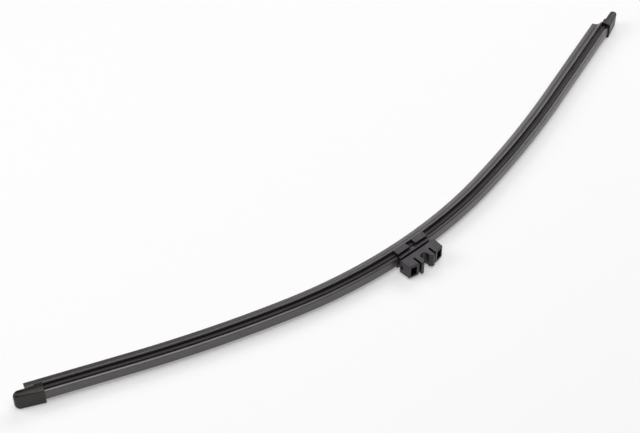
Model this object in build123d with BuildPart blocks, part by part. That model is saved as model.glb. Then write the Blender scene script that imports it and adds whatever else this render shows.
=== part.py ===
from build123d import *
import os
from math import cos, isclose, radians, sin

# A flat wiper blade for a rear window, lying on its side as it rests on a table. Lengths in millimetres.
# X runs along the blade at its connector, Y points from the arm's pin towards the wiping lip and Z is up.
# The origin is the middle of the seat that snaps onto the arm's pin.

# Bow of the two spring rails, along their middle line: a middle arc, an easier arc each side, straight ends
bow_radius = 275.5
near_bow_angle = 13.6
far_bow_angle = 12.0
ease_radius = 625.0
ease_angle = 7.0
near_reach = 194.1
far_reach = 211.7
pin_to_rail = 9.0

# Spring rails, one each side of the rubber's head, set back in its grooves
rail_thickness = 0.7
rail_width = 1.72
rail_spacing = 1.3
rail_fit = 0.05

# Rubber strip, cut short of the cap tips; the reaches are from the rails' middle towards the glass
lip_setback_near = 5.9
lip_setback_far = 11.4
lip_reach = 8.3
lip_length = 2.0
lip_edge = 0.8
lip_root = 1.3
wedge_hollow = 0.25
shoulder_width = 6.4
shoulder_reach = 3.1
shoulder_rim = 0.6
web_width = 1.1
head_reach = 2.55
head_root_width = 3.8
head_width = 6.2

# Roof along the rubber's back, which stops just inside the caps and is left out at the connector
roof_width = 5.7
roof_back_width = 4.8
roof_back = 1.5
roof_round = 0.5
roof_end_depth = 2.4
roof_end_gap = 0.3

# Space left round the rubber's head by what grips it
grip_fit = 0.1

# Two corners closer than this are one
same_place = 0.001

# End caps
cap_length = 13.3
cap_width = 9.4
cap_reach = 2.15
cap_collar = 3.7
cap_collar_reach = 2.6
cap_back_wall = 0.6
cap_end_wall = 1.6
cap_taper = 1.1
cap_crest = 0.2
cap_slope = 0.4
cap_tip_round = 2.4
cap_nose_share = 0.47
cap_edge_bevel = 0.5
cap_end_gap = 0.5

# Connector base, whose claws grip the rubber's head and the rails in it
base_length = 18.5
claw_width = 9.2
claw_reach = 2.6
claw_gap = 3.9
claw_round = 0.4
claw_back_wall = 0.5
ledge_width = 6.2
ledge_depth = 1.7
ledge_round = 0.8
ledge_edge = 0.25
tongue_length = 17.0
tongue_stem = 1.4
tongue_width = 2.5
tongue_depth = 0.9
tongue_fit = 0.05
seam_gap = 1.2

# Adapter with the pin seat between two snap fingers
adapter_length = 21.6
adapter_front_length = 20.9
adapter_width = 7.4
adapter_corner = 0.7
adapter_edge = 0.2
channel_lip = 0.8
block_nose = 1.85
block_corner_nose = 0.87
pin_radius = 2.0
mouth_neck = 3.4
mouth_width = 5.8
finger_reach = 2.7
finger_outside = 8.58
finger_tip_round = 0.45
neck_round = 0.4
slot_width = 0.98
slot_depth = 2.24
pocket_width = 3.2
pocket_height = 5.2
pocket_depth = 4.0
pocket_spacing = 16.2

# Distances that follow from the sizes above
near_bow_run = bow_radius * radians(near_bow_angle)
far_bow_run = bow_radius * radians(far_bow_angle)
ease_run = ease_radius * radians(ease_angle)
groove_half = rail_thickness / 2 + rail_fit
core_half = rail_spacing / 2 - rail_fit
head_side = head_width / 2 + grip_fit
head_root = head_root_width / 2 + grip_fit
rail_outside = rail_spacing + 2 * rail_width
cap_back = roof_back + grip_fit + cap_back_wall
cap_bevel_rise = cap_tip_round - cap_edge_bevel
cap_side_rises = [cap_bevel_rise * share for share in (0, 0.3, 0.6, 0.85, 1)]
cap_edge_rises = [cap_bevel_rise + cap_edge_bevel * share for share in (0, 0.6, 0.9, 1)]
grip_back = rail_thickness / 2 + grip_fit
claw_front = pin_to_rail + claw_reach
claw_back = pin_to_rail - grip_back - claw_back_wall
ledge_back = claw_back - ledge_depth
adapter_back = ledge_back - seam_gap
tongue_front = adapter_back - channel_lip - tongue_fit


def rail_runs(distance):
    """How the way to a distance from the connector splits into middle arc, easier arc and straight end."""
    run = abs(distance)
    bow_run = far_bow_run if distance >= 0 else near_bow_run
    middle = min(run, bow_run)
    eased = max(min(run - bow_run, ease_run), 0)
    return middle, eased, run - middle - eased


def rail_heading(distance):
    """Direction of the rails, in radians from X, at a distance along them from the connector."""
    middle, eased, straight = rail_runs(distance)
    turn = middle / bow_radius + eased / ease_radius
    return turn if distance >= 0 else -turn


def rail_point(distance):
    """Point of the rails' middle line at a distance along it from the connector."""
    side = 1 if distance >= 0 else -1
    middle, eased, straight = rail_runs(distance)
    first = middle / bow_radius
    last = first + eased / ease_radius
    x = bow_radius * sin(first) + ease_radius * (sin(last) - sin(first)) + straight * cos(last)
    y = bow_radius * (1 - cos(first)) + ease_radius * (cos(first) - cos(last)) + straight * sin(last)
    return Vector(side * x, pin_to_rail + y, 0)


def section_plane(distance, outward=1):
    """Plane across the blade: its x points at the glass and its normal along the rails, or back along them."""
    heading = rail_heading(distance)
    along = Vector(cos(heading), sin(heading), 0) * outward
    return Plane(rail_point(distance), x_dir=(-sin(heading), cos(heading), 0), z_dir=along)


def rail_route(start, end):
    """The rails' middle line between two distances from the connector, as one wire."""
    near_straight = -near_bow_run - ease_run
    far_straight = far_bow_run + ease_run
    bends = [near_straight, -near_bow_run, far_bow_run, far_straight]
    stops = [start] + [bend for bend in bends if start < bend < end] + [end]
    with BuildLine() as route:
        for first, last in zip(stops, stops[1:]):
            if first >= far_straight or last <= near_straight:
                Line(rail_point(first), rail_point(last))
            else:
                ThreePointArc(rail_point(first), rail_point((first + last) / 2), rail_point(last))
    return route.wire()


def head_clearance(opening, behind):
    """Half outline round the rubber's head with its fit, open towards the glass, and the corners behind it."""
    return [(opening, 0), (opening, head_root), (head_reach, head_root), (groove_half, head_side)] + behind


def corners_at(corners, y):
    """The corners of a sketch that lie at one y."""
    return corners.filter_by(lambda corner: isclose(corner.Y, y, abs_tol=same_place))


# What lies behind the head: only the rails' backs at the connector and deep in the caps, or the roof
behind_rails = [(-grip_back, head_side), (-grip_back, 0)]
behind_roof = [
    (-groove_half, roof_width / 2 + grip_fit),
    (-roof_back - grip_fit, roof_back_width / 2 + grip_fit),
    (-roof_back - grip_fit, 0),
]

near_end = -(near_reach - lip_setback_near)
far_end = far_reach - lip_setback_far
near_mouth = -(near_reach - cap_length)
far_mouth = far_reach - cap_length

# Rubber strip: lip, wedge with its shoulders, thin web, the head that holds the rails, and the roof
with BuildPart() as wiper_rubber:
    with BuildSketch(section_plane(near_end)) as section:
        wedge_foot = (lip_reach - lip_length, lip_root / 2)
        wedge_top = (shoulder_reach + shoulder_rim, shoulder_width / 2)
        wedge_middle = (
            (wedge_foot[0] + wedge_top[0]) / 2 - wedge_hollow,
            (wedge_foot[1] + wedge_top[1]) / 2 - wedge_hollow,
        )
        with BuildLine():
            Polyline((lip_reach, 0), (lip_reach, lip_edge / 2), wedge_foot)
            ThreePointArc(wedge_foot, wedge_middle, wedge_top)
            Polyline(
                wedge_top,
                (shoulder_reach, shoulder_width / 2),
                (shoulder_reach, web_width / 2),
                (head_reach, web_width / 2),
                (head_reach, head_root_width / 2),
                (groove_half, head_width / 2),
                (groove_half, core_half),
                (-groove_half, core_half),
                (-groove_half, roof_width / 2),
                (-roof_back, roof_back_width / 2),
                (-roof_back, 0),
            )
            mirror(about=Plane.XZ)
        make_face()
        fillet(corners_at(section.vertices(), roof_back_width / 2), roof_round)
        fillet(corners_at(section.vertices(), -roof_back_width / 2), roof_round)
    sweep(path=rail_route(near_end, far_end))
    connector_room = base_length / 2 + roof_end_gap
    near_room = near_mouth - roof_end_depth
    for start, end in ((near_end - roof_end_depth, near_room), (-connector_room, connector_room)):
        with BuildSketch(section_plane(start)):
            with Locations((-rail_thickness / 2, 0)):
                Rectangle(2 * roof_back, 2 * roof_width, align=(Align.MAX, Align.CENTER))
        sweep(path=rail_route(start, end), mode=Mode.SUBTRACT)
wiper_rubber.part.label = "wiper_rubber"

# Spring rails: flat strips that run through the rubber's side grooves into both caps
rail_near_end = -(near_reach - cap_end_wall - cap_end_gap)
rail_far_end = far_reach - cap_end_wall - cap_end_gap
rail_middle = (rail_spacing + rail_width) / 2


def spring_rail(side):
    """One rail, above or below the blade's middle plane."""
    with BuildPart() as rail:
        with BuildSketch(section_plane(rail_near_end)):
            with Locations((0, side * rail_middle)):
                Rectangle(rail_thickness, rail_width)
        sweep(path=rail_route(rail_near_end, rail_far_end))
    return rail


upper_rail = spring_rail(1)
upper_rail.part.label = "upper_rail"
lower_rail = spring_rail(-1)
lower_rail.part.label = "lower_rail"


def end_cap(mouth, outward, rubber_depth):
    """Cap from its mouth outwards: a collar, a tapered back and a rounded tip, hollow for the head and the rails."""
    across = section_plane(mouth, outward)
    seen_from_top = Plane(across.origin, x_dir=across.z_dir, z_dir=across.y_dir)
    with BuildPart() as cap:
        for rises, ruled in ((cap_side_rises, False), (cap_edge_rises, True)):
            for rise in rises:
                inset = max(rise - cap_bevel_rise, 0)
                end = cap_length - cap_tip_round + (cap_tip_round**2 - rise**2) ** 0.5
                back = cap_taper * end / cap_length - cap_back + inset
                front = cap_reach - inset
                with BuildSketch(seen_from_top.offset(cap_width / 2 - cap_tip_round + rise)) as layer:
                    with BuildLine():
                        Polyline((0, inset - cap_back), (end, back), (end, front), (0, front), close=True)
                    make_face()
                    fillet(layer.vertices().group_by(Axis.X)[-1], cap_nose_share * (front - back))
            loft(ruled=ruled)
        extrude(cap.faces().sort_by(Axis(across.origin, across.y_dir))[0], amount=cap_width / 2 - cap_tip_round)
        mirror(about=Plane(across.origin, z_dir=across.y_dir))
        with BuildSketch(across):
            with BuildLine():
                Polyline(
                    (cap_crest, cap_width / 2),
                    (-cap_back, cap_width / 2 - cap_slope),
                    (-cap_back, cap_width / 2),
                    close=True,
                )
            slope = make_face()
            mirror(slope, about=Plane.XZ)
        extrude(amount=cap_length, mode=Mode.SUBTRACT)
        with BuildSketch(seen_from_top.offset(-cap_width / 2)):
            with Locations((0, cap_crest)):
                Rectangle(cap_collar, cap_collar_reach - cap_crest, align=(Align.MIN, Align.MIN))
        extrude(amount=cap_width)
        for behind, depth in ((behind_roof, roof_end_depth), (behind_rails, rubber_depth)):
            with BuildSketch(across):
                with BuildLine():
                    Polyline(head_clearance(cap_collar_reach, behind))
                    mirror(about=Plane.XZ)
                make_face()
            extrude(amount=depth + cap_end_gap, mode=Mode.SUBTRACT)
        with BuildSketch(across):
            Rectangle(2 * grip_back, rail_outside + 2 * grip_fit)
        extrude(amount=cap_length - cap_end_wall, mode=Mode.SUBTRACT)
    return cap


near_cap = end_cap(near_mouth, -1, cap_length - lip_setback_near)
near_cap.part.label = "near_end_cap"
far_cap = end_cap(far_mouth, 1, cap_length - lip_setback_far)
far_cap.part.label = "far_end_cap"

# Connector base: four claws round the head, a lower ledge behind them and a tongue that carries the adapter
with BuildPart() as connector_base:
    with BuildSketch(Plane.YZ.offset(-base_length / 2)) as claw_profile:
        with Locations((claw_back, 0)):
            Rectangle(claw_front - claw_back, claw_width, align=(Align.MIN, Align.CENTER))
            Rectangle(ledge_depth, ledge_width, align=(Align.MAX, Align.CENTER))
        for side in (-1, 1):
            fillet(corners_at(claw_profile.vertices(), side * claw_width / 2), claw_round)
            fillet(corners_at(claw_profile.vertices(), side * ledge_width / 2).sort_by(Axis.X)[-1], ledge_round)
            fillet(corners_at(claw_profile.vertices(), side * ledge_width / 2).sort_by(Axis.X)[0], ledge_edge)
    extrude(amount=base_length)
    with BuildSketch(Plane.YZ.offset(-claw_gap / 2)):
        with Locations((ledge_back, 0)):
            Rectangle(claw_front - ledge_back, claw_width, align=(Align.MIN, Align.CENTER))
            Rectangle(
                pin_to_rail - grip_back - ledge_back,
                ledge_width,
                align=(Align.MIN, Align.CENTER),
                mode=Mode.SUBTRACT,
            )
    extrude(amount=claw_gap, mode=Mode.SUBTRACT)
    with BuildSketch(Plane.YZ.offset(-tongue_length / 2)):
        with Locations((tongue_front, 0)):
            Rectangle(ledge_back - tongue_front, tongue_stem, align=(Align.MIN, Align.CENTER))
            Rectangle(tongue_depth, tongue_width, align=(Align.MAX, Align.CENTER))
    extrude(amount=tongue_length)
    with BuildSketch(section_plane(-base_length)):
        with BuildLine():
            Polyline(head_clearance(lip_reach, behind_rails))
            mirror(about=Plane.XZ)
        make_face()
    sweep(path=rail_route(-base_length, base_length), mode=Mode.SUBTRACT)
connector_base.part.label = "connector_base"

# Adapter: two blocks and two snap fingers round the pin seat
neck_at = -((pin_radius**2 - (mouth_neck / 2) ** 2) ** 0.5)
slot_middle = (finger_outside + slot_width) / 2
with BuildPart() as pin_adapter:
    with BuildSketch(Plane.XY.offset(-adapter_width / 2)) as adapter_outline:
        with BuildLine():
            Polyline(
                (0, adapter_back),
                (adapter_length / 2, adapter_back),
                (adapter_front_length / 2, -block_corner_nose),
                (finger_outside / 2 + slot_width, -block_nose),
                (finger_outside / 2, -finger_reach),
                (0, -finger_reach),
            )
            mirror(about=Plane.YZ)
        make_face()
        Circle(pin_radius, mode=Mode.SUBTRACT)
        with BuildLine():
            Polyline(
                (0, 0),
                (mouth_neck / 2, neck_at),
                (mouth_width / 2, -finger_reach),
                (-mouth_width / 2, -finger_reach),
                (-mouth_neck / 2, neck_at),
                close=True,
            )
        make_face(mode=Mode.SUBTRACT)
        with Locations((slot_middle, slot_depth), (-slot_middle, slot_depth)):
            Rectangle(slot_width, slot_depth + finger_reach, align=(Align.CENTER, Align.MAX), mode=Mode.SUBTRACT)
        corners = adapter_outline.vertices()
        fillet(corners_at(corners, -finger_reach), finger_tip_round)
        fillet(corners_at(corners, neck_at), neck_round)
        fillet(corners_at(corners, -block_corner_nose), adapter_corner)
    extrude(amount=adapter_width)
    chamfer(pin_adapter.faces().sort_by(Axis.Z)[0].edges(), adapter_edge)
    chamfer(pin_adapter.faces().sort_by(Axis.Z)[-1].edges(), adapter_edge)
    with BuildSketch(Plane.YZ.offset(-adapter_length / 2)):
        with Locations((tongue_front + tongue_fit, 0)):
            Rectangle(channel_lip, tongue_stem + 2 * tongue_fit, align=(Align.MIN, Align.CENTER))
            Rectangle(
                tongue_depth + 2 * tongue_fit,
                tongue_width + 2 * tongue_fit,
                align=(Align.MAX, Align.CENTER),
            )
    extrude(amount=(adapter_length + tongue_length) / 2 + tongue_fit, mode=Mode.SUBTRACT)
    with BuildSketch(Plane.XZ.offset(block_nose)):
        with Locations((pocket_spacing / 2, 0), (-pocket_spacing / 2, 0)):
            Rectangle(pocket_width, pocket_height)
    extrude(amount=-pocket_depth, mode=Mode.SUBTRACT)
pin_adapter.part.label = "pin_adapter"

os.makedirs("parts", exist_ok=True)
for piece in (wiper_rubber, upper_rail, lower_rail, near_cap, far_cap, connector_base, pin_adapter):
    export_step(piece.part, f"parts/{piece.part.label}.step")
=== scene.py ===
"""A bowed flat wiper blade, lying on its side on a pale table."""
import math

import bpy
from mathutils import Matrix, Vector


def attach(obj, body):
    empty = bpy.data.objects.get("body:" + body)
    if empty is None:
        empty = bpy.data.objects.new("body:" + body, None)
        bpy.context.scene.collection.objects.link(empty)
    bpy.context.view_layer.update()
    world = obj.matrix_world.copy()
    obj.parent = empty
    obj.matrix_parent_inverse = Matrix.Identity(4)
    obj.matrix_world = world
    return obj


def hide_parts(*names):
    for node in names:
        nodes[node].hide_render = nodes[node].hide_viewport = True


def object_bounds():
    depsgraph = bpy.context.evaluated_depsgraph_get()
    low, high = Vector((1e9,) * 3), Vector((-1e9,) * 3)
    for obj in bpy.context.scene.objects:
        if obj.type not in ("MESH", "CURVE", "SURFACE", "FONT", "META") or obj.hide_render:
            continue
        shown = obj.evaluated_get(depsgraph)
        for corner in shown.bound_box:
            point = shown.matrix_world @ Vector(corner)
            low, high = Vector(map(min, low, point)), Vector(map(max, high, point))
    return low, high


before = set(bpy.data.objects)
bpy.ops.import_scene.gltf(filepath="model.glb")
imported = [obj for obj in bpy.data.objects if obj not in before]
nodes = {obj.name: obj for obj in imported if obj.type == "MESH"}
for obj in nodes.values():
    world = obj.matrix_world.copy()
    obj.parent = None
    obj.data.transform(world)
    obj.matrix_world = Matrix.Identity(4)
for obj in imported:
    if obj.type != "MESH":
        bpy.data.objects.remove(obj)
cad_low, cad_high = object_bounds()
mm = 0.001

# Bow of the rails' middle line, as in the solids: a middle arc, an easier arc each side, straight ends
bow_radius = 275.5 * mm
near_bow_run = bow_radius * math.radians(13.6)
far_bow_run = bow_radius * math.radians(12.0)
ease_radius = 625.0 * mm
ease_run = ease_radius * math.radians(7.0)
near_reach = 194.1 * mm
far_reach = 211.7 * mm
pin_to_rail = 9.0 * mm
station_step = 2.0 * mm

# Spring rails in the side grooves of the rubber's head
rail_thickness = 0.7 * mm
rail_width = 1.72 * mm
rail_spacing = 1.3 * mm
rail_fit = 0.05 * mm
rail_setback = 2.1 * mm
rail_round = 0.08 * mm

# Rubber strip; the reaches are from the rails' middle line towards the glass
lip_setback_near = 5.9 * mm
lip_setback_far = 11.4 * mm
lip_reach = 8.3 * mm
lip_length = 2.0 * mm
lip_edge = 0.8 * mm
lip_root = 1.3 * mm
lip_round = 0.08 * mm
wedge_hollow = 0.25 * mm
wedge_steps = 10
shoulder_width = 6.4 * mm
shoulder_reach = 3.1 * mm
shoulder_rim = 0.6 * mm
shoulder_round = 0.15 * mm
shoulder_back_round = 0.3 * mm
web_width = 1.1 * mm
head_reach = 2.55 * mm
head_root_width = 3.8 * mm
head_root_round = 0.12 * mm
head_width = 6.2 * mm
head_round = 0.1 * mm

# Roof along the rubber's back: its foot is sunk in the head, and it stops at the near cap and the connector
roof_width = 5.7 * mm
roof_edge_round = 0.15 * mm
roof_back_width = 4.8 * mm
roof_back = 1.5 * mm
roof_round = 0.5 * mm
roof_foot_width = 1.0 * mm
roof_foot_sink = 0.15 * mm
roof_setback_near = 10.9 * mm
connector_room = 9.55 * mm

# End caps, and the crown of their flanks: where it starts, its run and fall, and the heights it works between
cap_length = 13.3 * mm
crown_start = 0.4 * mm
crown_run = 2.5 * mm
crown_fall = 0.36 * mm
crown_top = 4.3 * mm
crown_root = 3.5 * mm
crown_voxel = 0.12 * mm

# Broken edges of the connector's two mouldings
edge_width = 0.1 * mm
edge_angle = math.radians(28)
flat_angle = math.radians(0.5)
weld_gap = 0.002 * mm

# Grain: streaks and blotches on the extruded strips, clouds and pits on the mouldings
streak_length = 60.0 * mm
streak_width = 0.35 * mm
streak_depth = 0.03 * mm
blotch_length = 9.0 * mm
blotch_width = 3.0 * mm
cloud_size = 4.0 * mm
cap_pit_size = 0.3 * mm
connector_pit_size = 0.25 * mm
pit_depth = 0.02 * mm

# Camera, fitted to the photograph's perspective
look_at = Vector((-16.4, 53.7, 0.0)) * mm
camera_azimuth = math.radians(-41.92)
camera_elevation = math.radians(45.0)
camera_distance = 739.3 * mm
camera_lens = 88.0

# How far the soft boxes stand, and the level of the room's own light
light_distance = 1.15
room_level = 0.03

# Floor: half side, tone, share of its own glow round the blade, how far that reaches and where it is white
table_half = 6.0
table_tone = 0.94
table_glow = 0.33
table_reach = 0.4
white_reach = 1.2


def bow_point(distance):
    """Point of the rails' middle line, at a distance from the connector, and the way to the glass there."""
    side = 1 if distance >= 0 else -1
    bow_run = far_bow_run if distance >= 0 else near_bow_run
    run = abs(distance)
    middle = min(run, bow_run) / bow_radius
    eased = middle + max(min(run - bow_run, ease_run), 0) / ease_radius
    straight = max(run - bow_run - ease_run, 0)
    x = bow_radius * math.sin(middle) + ease_radius * (math.sin(eased) - math.sin(middle))
    y = bow_radius * (1 - math.cos(middle)) + ease_radius * (math.cos(middle) - math.cos(eased))
    x += straight * math.cos(eased)
    y += straight * math.sin(eased)
    glass = Vector((-side * math.sin(eased), math.cos(eased), 0))
    return Vector((side * x, pin_to_rail + y, 0)), glass


def rounded_outline(corners, steps):
    """Closed outline from (reach, height, radius) corners, each with a radius rounded by a short arc."""
    outline = []
    count = len(corners)
    for i, (reach, height, radius) in enumerate(corners):
        corner = Vector((reach, height))
        if radius == 0:
            outline.append(corner)
            continue
        before = (Vector(corners[i - 1][:2]) - corner).normalized()
        after = (Vector(corners[(i + 1) % count][:2]) - corner).normalized()
        half = before.angle(after) / 2
        centre = corner + (before + after).normalized() * (radius / math.sin(half))
        start = corner + before * (radius / math.tan(half)) - centre
        end = corner + after * (radius / math.tan(half)) - centre
        turn = -start.angle_signed(end)
        outline += [centre + turned(start, turn * k / steps) for k in range(steps + 1)]
    return outline


def turned(arm, angle):
    """A flat vector turned by an angle."""
    return Vector((
        arm.x * math.cos(angle) - arm.y * math.sin(angle),
        arm.x * math.sin(angle) + arm.y * math.cos(angle),
    ))


def mirrored(half):
    """Whole outline from the upper half's corners, which run from the lip to the back."""
    return half + [(reach, -height, radius) for reach, height, radius in reversed(half) if height != 0]


def arc_corners(first, middle, last, count):
    """Corners along the arc through three points, without its two ends."""
    (ax, ay), (bx, by), (cx, cy) = first, middle, last
    twice = 2 * (ax * (by - cy) + bx * (cy - ay) + cx * (ay - by))
    a, b, c = ax * ax + ay * ay, bx * bx + by * by, cx * cx + cy * cy
    centre = Vector((
        (a * (by - cy) + b * (cy - ay) + c * (ay - by)) / twice,
        (a * (cx - bx) + b * (ax - cx) + c * (bx - ax)) / twice,
    ))
    start, end = Vector(first) - centre, Vector(last) - centre
    turn = -start.angle_signed(end)
    return [(*(centre + turned(start, turn * k / count)), 0.0) for k in range(1, count)]


def swept(name, runs):
    """Strip along the bow from (outline, ends) runs. Its UV map is in metres, along it and round it."""
    vertices, faces, uvs = [], [], []
    for outline, (start, end) in runs:
        count = max(2, math.ceil((end - start) / station_step) + 1)
        base, size = len(vertices), len(outline)
        stations = [start + (end - start) * k / (count - 1) for k in range(count)]
        for distance in stations:
            origin, glass = bow_point(distance)
            vertices += [origin + glass * p.x + Vector((0, 0, p.y)) for p in outline]
        around = [0.0]
        for i in range(size):
            around.append(around[-1] + (outline[(i + 1) % size] - outline[i]).length)
        for k in range(count - 1):
            here, ahead = base + k * size, base + (k + 1) * size
            low, high = stations[k], stations[k + 1]
            for i in range(size):
                j = (i + 1) % size
                faces.append((here + i, here + j, ahead + j, ahead + i))
                uvs += [(low, around[i]), (low, around[i + 1]), (high, around[i + 1]), (high, around[i])]
        last = base + (count - 1) * size
        faces.append(tuple(reversed(range(base, base + size))))
        faces.append(tuple(range(last, last + size)))
        uvs += [tuple(p) for p in reversed(outline)] + [tuple(p) for p in outline]
    mesh = bpy.data.meshes.new(name)
    mesh.from_pydata(vertices, [], faces)
    layer = mesh.uv_layers.new(name="strip")
    layer.data.foreach_set("uv", [value for uv in uvs for value in uv])
    mesh.update()
    mesh.shade_smooth()
    mesh.set_sharp_from_angle(angle=math.radians(40))
    piece = bpy.data.objects.new(name, mesh)
    bpy.context.scene.collection.objects.link(piece)
    piece.modifiers.new("normals", "WEIGHTED_NORMAL").keep_sharp = True
    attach(piece, "root")
    return piece


def body_outline():
    """Section of the rubber without its roof: lip, hollow wedge, shoulders, web and head with its grooves."""
    wedge_foot = (lip_reach - lip_length, lip_root / 2)
    wedge_top = (shoulder_reach + shoulder_rim, shoulder_width / 2)
    wedge_middle = tuple((foot + top) / 2 - wedge_hollow for foot, top in zip(wedge_foot, wedge_top))
    groove_front = rail_thickness / 2 + rail_fit
    groove_back = -rail_thickness / 2
    core_half = rail_spacing / 2 - rail_fit
    half = [
        (lip_reach, 0.0, 0.0),
        (lip_reach, lip_edge / 2, lip_round),
        (*wedge_foot, 0.0),
        *arc_corners(wedge_foot, wedge_middle, wedge_top, wedge_steps),
        (*wedge_top, shoulder_round),
        (shoulder_reach, shoulder_width / 2, shoulder_back_round),
        (shoulder_reach, web_width / 2, 0.0),
        (head_reach, web_width / 2, 0.0),
        (head_reach, head_root_width / 2, head_root_round),
        (groove_front, head_width / 2, head_round),
        (groove_front, core_half, 0.0),
        (groove_back, core_half, 0.0),
        (groove_back, 0.0, 0.0),
    ]
    return rounded_outline(mirrored(half), 4)


def roof_outline():
    """Section of the rubber's roof, with its foot in the head."""
    roof_front = -rail_thickness / 2 - rail_fit
    foot_front = roof_foot_sink - rail_thickness / 2
    half = [
        (foot_front, 0.0, 0.0),
        (foot_front, roof_foot_width / 2, 0.0),
        (roof_front, roof_foot_width / 2, 0.0),
        (roof_front, roof_width / 2, roof_edge_round),
        (-roof_back, roof_back_width / 2, roof_round),
        (-roof_back, 0.0, 0.0),
    ]
    return rounded_outline(mirrored(half), 6)


def add_rubber(material):
    """Rubber strip, whose roof is left out at the connector."""
    near_end = lip_setback_near - near_reach
    far_end = far_reach - lip_setback_far
    near_roof_end = roof_setback_near - near_reach
    rubber = swept("rubber_strip", (
        (body_outline(), (near_end, far_end)),
        (roof_outline(), (near_roof_end, -connector_room)),
        (roof_outline(), (connector_room, far_end)),
    ))
    rubber.data.materials.append(material)
    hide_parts("wiper_rubber")


def add_rail(node, side, material):
    """One spring rail, above or below the blade's middle plane."""
    low, high = sorted((side * rail_spacing / 2, side * (rail_spacing / 2 + rail_width)))
    front, back = rail_thickness / 2, -rail_thickness / 2
    corners = ((front, high), (back, high), (back, low), (front, low))
    section = [(reach, height, rail_round) for reach, height in corners]
    ends = (rail_setback - near_reach, far_reach - rail_setback)
    rail = swept(node + "_strip", ((rounded_outline(section, 3), ends),))
    rail.data.materials.append(material)
    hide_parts(node)


def new_material(name):
    """Material with its nodes, and the shader to set."""
    material = bpy.data.materials.new(name)
    material.use_nodes = True
    return material, material.node_tree, material.node_tree.nodes["Principled BSDF"]


def noise(tree, vector, scale, detail=4.0):
    """Noise of the given scale on a vector."""
    node = tree.nodes.new("ShaderNodeTexNoise")
    node.inputs["Scale"].default_value = scale
    node.inputs["Detail"].default_value = detail
    tree.links.new(vector, node.inputs["Vector"])
    return node.outputs["Fac"]


def spread(tree, value, low, high):
    """Stretches the middle of a noise to run from low to high."""
    node = tree.nodes.new("ShaderNodeMapRange")
    node.inputs["From Min"].default_value = 0.3
    node.inputs["From Max"].default_value = 0.7
    node.inputs["To Min"].default_value = low
    node.inputs["To Max"].default_value = high
    tree.links.new(value, node.inputs["Value"])
    return node.outputs["Result"]


def tint(tree, value, dark, light, target):
    """Mixes two colours by a value, into a socket."""
    node = tree.nodes.new("ShaderNodeMix")
    node.data_type = "RGBA"
    node.inputs["A"].default_value = (*dark, 1)
    node.inputs["B"].default_value = (*light, 1)
    tree.links.new(value, node.inputs["Factor"])
    tree.links.new(node.outputs["Result"], target)


def relief(tree, shader, height, depth, strength):
    """Bumps a shader by a height."""
    node = tree.nodes.new("ShaderNodeBump")
    node.inputs["Distance"].default_value = depth
    node.inputs["Strength"].default_value = strength
    tree.links.new(height, node.inputs["Height"])
    tree.links.new(node.outputs["Normal"], shader.inputs["Normal"])


def stretched_uv(tree, along, across):
    """The strip's UV in units of a streak: so long along the strip, so wide across it."""
    source = tree.nodes.new("ShaderNodeUVMap")
    source.uv_map = "strip"
    node = tree.nodes.new("ShaderNodeMapping")
    node.inputs["Scale"].default_value = (1 / along, 1 / across, 1)
    tree.links.new(source.outputs["UV"], node.inputs["Vector"])
    return node.outputs["Vector"]


def strip_material(name, dark, light, roughness, gloss, shine):
    """Extruded strip: fine streaks along it in its tone and its surface, and blotches in its roughness."""
    material, tree, shader = new_material(name)
    streaks = noise(tree, stretched_uv(tree, streak_length, streak_width), 1.0)
    blotches = noise(tree, stretched_uv(tree, blotch_length, blotch_width), 1.0)
    tint(tree, spread(tree, streaks, 0.0, 1.0), dark, light, shader.inputs["Base Color"])
    tree.links.new(spread(tree, blotches, roughness - 0.05, roughness + 0.07), shader.inputs["Roughness"])
    shader.inputs["Specular IOR Level"].default_value = gloss
    shader.inputs["Specular Tint"].default_value = (*shine, 1)
    relief(tree, shader, streaks, streak_depth, 0.5)
    return material


def moulded_material(name, dark, light, roughness, gloss, shine, pit_size):
    """Moulded plastic: a fine grain of pits, with soft clouds in its tone and its roughness."""
    material, tree, shader = new_material(name)
    place = tree.nodes.new("ShaderNodeTexCoord").outputs["Object"]
    clouds = noise(tree, place, 1 / cloud_size)
    pits = noise(tree, place, 1 / pit_size, 2.0)
    tint(tree, spread(tree, clouds, 0.0, 1.0), dark, light, shader.inputs["Base Color"])
    tree.links.new(spread(tree, clouds, roughness - 0.04, roughness + 0.06), shader.inputs["Roughness"])
    shader.inputs["Specular IOR Level"].default_value = gloss
    shader.inputs["Specular Tint"].default_value = (*shine, 1)
    relief(tree, shader, pits, pit_depth, 0.4)
    return material


def dress(node, material):
    """Gives a CAD piece its material and breaks its sharp edges."""
    piece = nodes[node]
    piece.data.materials.clear()
    piece.data.materials.append(material)
    weld = piece.modifiers.new("weld", "WELD")
    weld.merge_threshold = weld_gap
    flats = piece.modifiers.new("flats", "DECIMATE")
    flats.decimate_type = "DISSOLVE"
    flats.angle_limit = flat_angle
    bevel = piece.modifiers.new("edges", "BEVEL")
    bevel.width = edge_width
    bevel.segments = 3
    bevel.limit_method = "ANGLE"
    bevel.angle_limit = edge_angle
    bevel.use_clamp_overlap = True
    piece.modifiers.new("normals", "WEIGHTED_NORMAL")


def fine_copy(name, mesh):
    """Object with a copy of a mesh, made anew from small even faces and softened a little."""
    piece = bpy.data.objects.new(name, mesh.copy())
    bpy.context.scene.collection.objects.link(piece)
    remesh = piece.modifiers.new("remesh", "REMESH")
    remesh.mode = "VOXEL"
    remesh.voxel_size = crown_voxel
    soften = piece.modifiers.new("soften", "SMOOTH")
    soften.factor = 0.5
    soften.iterations = 4
    fine = piece.evaluated_get(bpy.context.evaluated_depsgraph_get())
    fine_mesh = bpy.data.meshes.new_from_object(fine)
    piece.modifiers.clear()
    piece.data = fine_mesh
    return piece


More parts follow.
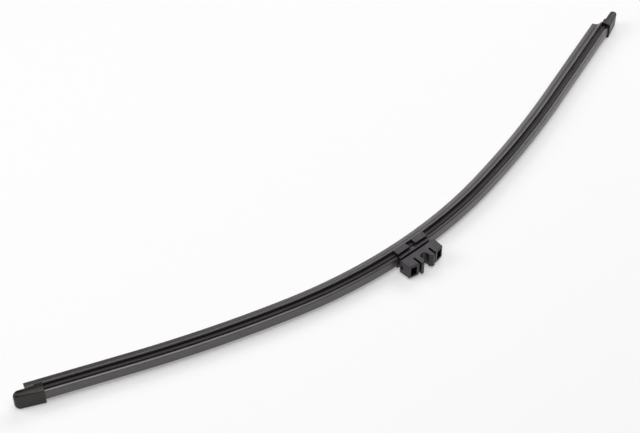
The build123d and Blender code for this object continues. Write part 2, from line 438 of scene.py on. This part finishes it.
def add_cap(node, middle, material):
    """End cap, made from its solid, whose flanks fall away in a soft crown towards its back edges."""
    shell = fine_copy(node + "_shell", nodes[node].data)
    mesh = shell.data
    origin, glass = bow_point(middle)
    for vertex in mesh.vertices:
        run = crown_start - (vertex.co - origin).dot(glass)
        outer = (abs(vertex.co.z) - crown_root) / (crown_top - crown_root)
        if run > 0 and outer > 0:
            fall = crown_fall * (run / crown_run) ** 2 * min(outer, 1.0)
            vertex.co.z -= math.copysign(fall, vertex.co.z)
        vertex.co.z = min(max(vertex.co.z, cad_low.z), cad_high.z)
    mesh.materials.clear()
    mesh.materials.append(material)
    mesh.shade_smooth()
    mesh.set_sharp_from_angle(angle=math.radians(50))
    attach(shell, "root")
    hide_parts(node)


def seen_or_mirrored(tree):
    """1 for rays from the camera, from a gloss or through glass, and 0 for the others."""
    rays = tree.nodes.new("ShaderNodeLightPath").outputs
    seen = rays["Is Camera Ray"]
    for kind in ("Is Glossy Ray", "Is Transmission Ray"):
        either = tree.nodes.new("ShaderNodeMath")
        either.operation = "MAXIMUM"
        tree.links.new(seen, either.inputs[0])
        tree.links.new(rays[kind], either.inputs[1])
        seen = either.outputs["Value"]
    return seen


def glow_share(tree):
    """Share of the floor's glow: the table's round the blade, rising to 1 far off."""
    place = tree.nodes.new("ShaderNodeTexCoord").outputs["Object"]
    reach = tree.nodes.new("ShaderNodeVectorMath")
    reach.operation = "LENGTH"
    fade = tree.nodes.new("ShaderNodeMapRange")
    fade.inputs["From Min"].default_value = table_reach
    fade.inputs["From Max"].default_value = white_reach
    fade.inputs["To Min"].default_value = table_glow
    tree.links.new(place, reach.inputs[0])
    tree.links.new(reach.outputs["Value"], fade.inputs["Value"])
    return fade.outputs["Result"]


def table_material():
    """Pale matt table, which glows a little where it is seen or mirrored, and is white far off."""
    material, tree, shader = new_material("pale_table")
    shader.inputs["Base Color"].default_value = (table_tone, table_tone, table_tone, 1)
    shader.inputs["Roughness"].default_value = 0.9
    shader.inputs["Specular IOR Level"].default_value = 0.2
    glow = tree.nodes.new("ShaderNodeEmission")
    share = tree.nodes.new("ShaderNodeMath")
    share.operation = "MULTIPLY"
    both = tree.nodes.new("ShaderNodeMixShader")
    tree.links.new(seen_or_mirrored(tree), share.inputs[0])
    tree.links.new(glow_share(tree), share.inputs[1])
    tree.links.new(share.outputs["Value"], both.inputs["Fac"])
    tree.links.new(shader.outputs["BSDF"], both.inputs[1])
    tree.links.new(glow.outputs["Emission"], both.inputs[2])
    tree.links.new(both.outputs["Shader"], tree.nodes["Material Output"].inputs["Surface"])
    return material


def add_floor():
    """Table top that the blade lies on."""
    mesh = bpy.data.meshes.new("floor")
    corners = [(-1, -1), (1, -1), (1, 1), (-1, 1)]
    mesh.from_pydata([(x * table_half, y * table_half, cad_low.z) for x, y in corners], [], [(0, 1, 2, 3)])
    mesh.materials.append(table_material())
    floor = bpy.data.objects.new("floor", mesh)
    bpy.context.scene.collection.objects.link(floor)


def add_room():
    """Dim white studio round the table."""
    world = bpy.data.worlds.new("studio")
    bpy.context.scene.world = world
    world.use_nodes = True
    background = world.node_tree.nodes["Background"]
    background.inputs["Color"].default_value = (1, 1, 1, 1)
    background.inputs["Strength"].default_value = room_level


def add_light(name, azimuth, elevation, width, height, power):
    """Soft box turned towards the blade. Its azimuth is 0 beyond the blade and 90 at the camera's right."""
    right = Vector((math.cos(camera_azimuth), math.sin(camera_azimuth), 0))
    away = Vector((-math.sin(camera_azimuth), math.cos(camera_azimuth), 0))
    turn, rise = math.radians(azimuth), math.radians(elevation)
    level = right * math.sin(turn) + away * math.cos(turn)
    towards = level * math.cos(rise) + Vector((0, 0, math.sin(rise)))
    data = bpy.data.lights.new(name, "AREA")
    data.shape = "RECTANGLE"
    data.size = width
    data.size_y = height
    data.energy = power
    lamp = bpy.data.objects.new(name, data)
    lamp.location = look_at + towards * light_distance
    lamp.rotation_euler = towards.to_track_quat("Z", "Y").to_euler()
    bpy.context.scene.collection.objects.link(lamp)


def add_camera():
    """Camera at the photograph's viewing angle."""
    back = Vector((
        math.sin(camera_azimuth) * math.cos(camera_elevation),
        -math.cos(camera_azimuth) * math.cos(camera_elevation),
        math.sin(camera_elevation),
    ))
    data = bpy.data.cameras.new("camera")
    data.lens = camera_lens
    data.sensor_width = 36.0
    data.clip_start = 0.01
    camera = bpy.data.objects.new("camera", data)
    camera.location = look_at + back * camera_distance
    camera.rotation_euler = (-back).to_track_quat("-Z", "Y").to_euler()
    bpy.context.scene.collection.objects.link(camera)
    bpy.context.scene.camera = camera


rubber_black = strip_material(
    "black_rubber",
    dark=(0.038, 0.0345, 0.035),
    light=(0.056, 0.0515, 0.052),
    roughness=0.32,
    gloss=0.9,
    shine=(1.0, 0.95, 0.95),
)
rail_black = strip_material(
    "coated_steel",
    dark=(0.010, 0.0095, 0.0097),
    light=(0.016, 0.015, 0.0153),
    roughness=0.38,
    gloss=0.5,
    shine=(1.0, 0.93, 0.945),
)
cap_black = moulded_material(
    "cap_plastic",
    dark=(0.004, 0.0034, 0.0033),
    light=(0.0065, 0.0056, 0.0054),
    roughness=0.4,
    gloss=0.45,
    shine=(1.0, 0.9, 0.89),
    pit_size=cap_pit_size,
)
connector_black = moulded_material(
    "connector_plastic",
    dark=(0.0045, 0.0038, 0.0045),
    light=(0.0075, 0.0065, 0.0075),
    roughness=0.42,
    gloss=0.64,
    shine=(1.0, 0.92, 1.0),
    pit_size=connector_pit_size,
)

add_rubber(rubber_black)
add_rail("upper_rail", 1, rail_black)
add_rail("lower_rail", -1, rail_black)
dress("connector_base", connector_black)
dress("pin_adapter", connector_black)
add_cap("near_end_cap", cap_length / 2 - near_reach, cap_black)
add_cap("far_end_cap", far_reach - cap_length / 2, cap_black)

bpy.context.scene.view_settings.view_transform = "Standard"
add_floor()
add_room()
add_light("overhead", azimuth=170.0, elevation=79.0, width=0.9, height=0.9, power=8.0)
add_light("beyond", azimuth=20.0, elevation=42.0, width=0.95, height=0.5, power=4.3)
add_light("right", azimuth=50.0, elevation=31.0, width=0.6, height=0.6, power=1.8)
add_light("left", azimuth=268.0, elevation=40.0, width=0.75, height=0.75, power=5.5)
add_camera()
